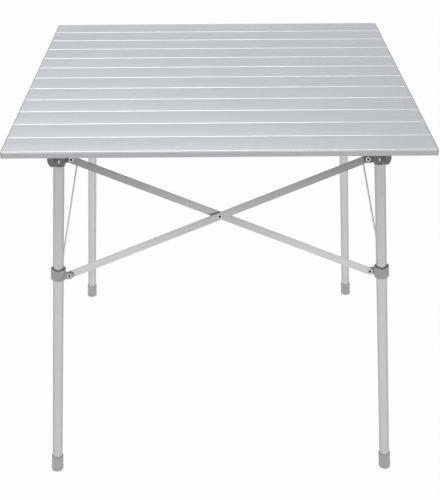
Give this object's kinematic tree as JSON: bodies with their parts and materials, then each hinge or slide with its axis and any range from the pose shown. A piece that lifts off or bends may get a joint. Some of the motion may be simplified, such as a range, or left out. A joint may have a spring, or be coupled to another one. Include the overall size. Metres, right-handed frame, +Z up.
{
  "type": "folding slat-top table",
  "caption": "Square folding camp table with a slatted aluminium top on four splayed tube legs joined by scissor braces.",
  "frame": {"origin": "on the floor, under the middle of the top", "axes": "+Z up, +X along the slats to the right, +Y to the back, so the front edge is at -Y"},
  "size_m": [0.7, 0.6996, 0.686],
  "materials": {
    "slat_aluminium": "satin anodised extrusion",
    "cap_plastic": "moulded",
    "cord_elastic": "braided",
    "leg_aluminium": "satin anodised tube",
    "foot_plastic": "moulded",
    "hub_plastic": "moulded nylon",
    "collar_plastic": "moulded nylon",
    "brace_aluminium": "satin strip",
    "rivet_steel": "plated"
  },
  "bodies": {
    "tabletop": {"slat_01": "slat_aluminium", "slat_02": "slat_aluminium", "slat_03": "slat_aluminium", "slat_04": "slat_aluminium", "slat_05": "slat_aluminium", "slat_06": "slat_aluminium", "slat_07": "slat_aluminium", "slat_08": "slat_aluminium", "slat_09": "slat_aluminium", "slat_10": "slat_aluminium", "slat_11": "slat_aluminium", "slat_12": "slat_aluminium", "end_caps_left": "cap_plastic", "end_caps_right": "cap_plastic", "elastic_cords": "cord_elastic"},
    "leg_frame_front_left": {"leg_front_left": "leg_aluminium", "foot_front_left": "foot_plastic", "hub_front_left": "hub_plastic", "hub_rivets_front_left": "rivet_steel"},
    "slider_front_left": {"collar_front_left": "collar_plastic", "collar_rivets_front_left": "rivet_steel"},
    "leg_frame_front_right": {"leg_front_right": "leg_aluminium", "foot_front_right": "foot_plastic", "hub_front_right": "hub_plastic", "hub_rivets_front_right": "rivet_steel"},
    "slider_front_right": {"collar_front_right": "collar_plastic", "collar_rivets_front_right": "rivet_steel"},
    "leg_frame_rear_right": {"leg_rear_right": "leg_aluminium", "foot_rear_right": "foot_plastic", "hub_rear_right": "hub_plastic", "hub_rivets_rear_right": "rivet_steel"},
    "slider_rear_right": {"collar_rear_right": "collar_plastic", "collar_rivets_rear_right": "rivet_steel"},
    "leg_frame_rear_left": {"leg_rear_left": "leg_aluminium", "foot_rear_left": "foot_plastic", "hub_rear_left": "hub_plastic", "hub_rivets_rear_left": "rivet_steel"},
    "slider_rear_left": {"collar_rear_left": "collar_plastic", "collar_rivets_rear_left": "rivet_steel"},
    "strip_front_inner": {"brace_front_inner": "brace_aluminium", "brace_rivets_front_inner": "rivet_steel"},
    "strip_front_outer": {"brace_front_outer": "brace_aluminium", "brace_rivets_front_outer": "rivet_steel"},
    "strip_right_inner": {"brace_right_inner": "brace_aluminium", "brace_rivets_right_inner": "rivet_steel"},
    "strip_right_outer": {"brace_right_outer": "brace_aluminium", "brace_rivets_right_outer": "rivet_steel"},
    "strip_rear_inner": {"brace_rear_inner": "brace_aluminium", "brace_rivets_rear_inner": "rivet_steel"},
    "strip_rear_outer": {"brace_rear_outer": "brace_aluminium", "brace_rivets_rear_outer": "rivet_steel"},
    "strip_left_inner": {"brace_left_inner": "brace_aluminium", "brace_rivets_left_inner": "rivet_steel"},
    "strip_left_outer": {"brace_left_outer": "brace_aluminium", "brace_rivets_left_outer": "rivet_steel"}
  },
  "joints": [
    {"name": "fold_front_left", "type": "hinge", "parent": "tabletop", "child": "leg_frame_front_left", "pos_m": [-0.0245, -0.0245, 3.72418], "axis": [0.7071, -0.7071, 0], "range_deg": [0, 6.45]},
    {"name": "swing_front_inner", "type": "hinge", "parent": "leg_frame_front_left", "child": "strip_front_inner", "pos_m": [-0.25056, -0.27113, 0.63682], "axis": [-0.0014, 0.997, -0.0773], "range_deg": [0, 71.22]},
    {"name": "scissor_front", "type": "hinge", "parent": "strip_front_inner", "child": "strip_front_outer", "pos_m": [0, -0.27939, 0.53342], "axis": [0, -0.9968, 0.0796], "range_deg": [0, 133.33]},
    {"name": "fold_front_right", "type": "hinge", "parent": "strip_front_outer", "child": "leg_frame_front_right", "pos_m": [0.25056, -0.27113, 0.63682], "axis": [0.0014, 0.997, -0.0773], "range_deg": [0, 71.22]},
    {"name": "swing_right_inner", "type": "hinge", "parent": "leg_frame_front_right", "child": "strip_right_inner", "pos_m": [0.27113, -0.25056, 0.63682], "axis": [-0.997, -0.0014, -0.0773], "range_deg": [0, 71.22]},
    {"name": "scissor_right", "type": "hinge", "parent": "strip_right_inner", "child": "strip_right_outer", "pos_m": [0.27939, 0, 0.53342], "axis": [0.9968, 0, 0.0796], "range_deg": [0, 133.33]},
    {"name": "fold_rear_right", "type": "hinge", "parent": "strip_right_outer", "child": "leg_frame_rear_right", "pos_m": [0.27113, 0.25056, 0.63682], "axis": [-0.997, 0.0014, -0.0773], "range_deg": [0, 71.22]},
    {"name": "swing_left_outer", "type": "hinge", "parent": "leg_frame_front_left", "child": "strip_left_outer", "pos_m": [-0.27113, -0.25056, 0.63682], "axis": [-0.997, 0.0014, 0.0773], "range_deg": [0, 71.22]},
    {"name": "scissor_left", "type": "hinge", "parent": "strip_left_outer", "child": "strip_left_inner", "pos_m": [-0.27939, 0, 0.53342], "axis": [0.9968, 0, -0.0796], "range_deg": [0, 133.33]},
    {"name": "fold_rear_left", "type": "hinge", "parent": "strip_left_inner", "child": "leg_frame_rear_left", "pos_m": [-0.27113, 0.25056, 0.63682], "axis": [-0.997, -0.0014, 0.0773], "range_deg": [0, 71.22]},
    {"name": "swing_rear_inner", "type": "hinge", "parent": "leg_frame_rear_right", "child": "strip_rear_inner", "pos_m": [0.25056, 0.27113, 0.63682], "axis": [0.0014, -0.997, -0.0773], "range_deg": [0, 71.22]},
    {"name": "swing_rear_outer", "type": "hinge", "parent": "leg_frame_rear_left", "child": "strip_rear_outer", "pos_m": [-0.25056, 0.27113, 0.63682], "axis": [0.0014, 0.997, 0.0773], "range_deg": [0, 71.22]},
    {"name": "slide_front_left", "type": "slide", "parent": "leg_frame_front_left", "child": "slider_front_left", "axis": [-0.0794, -0.0794, -0.9937], "range_m": [0, 0.3456]},
    {"name": "slide_front_right", "type": "slide", "parent": "leg_frame_front_right", "child": "slider_front_right", "axis": [0.0794, -0.0794, -0.9937], "range_m": [0, 0.3456]},
    {"name": "slide_rear_right", "type": "slide", "parent": "leg_frame_rear_right", "child": "slider_rear_right", "axis": [0.0794, 0.0794, -0.9937], "range_m": [0, 0.3456]},
    {"name": "slide_rear_left", "type": "slide", "parent": "leg_frame_rear_left", "child": "slider_rear_left", "axis": [-0.0794, 0.0794, -0.9937], "range_m": [0, 0.3456]}
  ],
  "couplings": [
    {"joint": "swing_front_inner", "follows": "fold_front_left", "ratio": 11.05},
    {"joint": "scissor_front", "follows": "fold_front_left", "ratio": 20.686},
    {"joint": "fold_front_right", "follows": "fold_front_left", "ratio": 11.05},
    {"joint": "swing_right_inner", "follows": "fold_front_left", "ratio": 11.05},
    {"joint": "scissor_right", "follows": "fold_front_left", "ratio": 20.686},
    {"joint": "fold_rear_right", "follows": "fold_front_left", "ratio": 11.05},
    {"joint": "swing_left_outer", "follows": "fold_front_left", "ratio": 11.05},
    {"joint": "scissor_left", "follows": "fold_front_left", "ratio": 20.686},
    {"joint": "fold_rear_left", "follows": "fold_front_left", "ratio": 11.05},
    {"joint": "swing_rear_inner", "follows": "fold_front_left", "ratio": 11.05},
    {"joint": "swing_rear_outer", "follows": "fold_front_left", "ratio": 11.05},
    {"joint": "slide_front_left", "follows": "fold_front_left", "m_per_rad": 3.0721},
    {"joint": "slide_front_right", "follows": "fold_front_left", "m_per_rad": 3.0721},
    {"joint": "slide_rear_right", "follows": "fold_front_left", "m_per_rad": 3.0721},
    {"joint": "slide_rear_left", "follows": "fold_front_left", "m_per_rad": 3.0721}
  ]
}
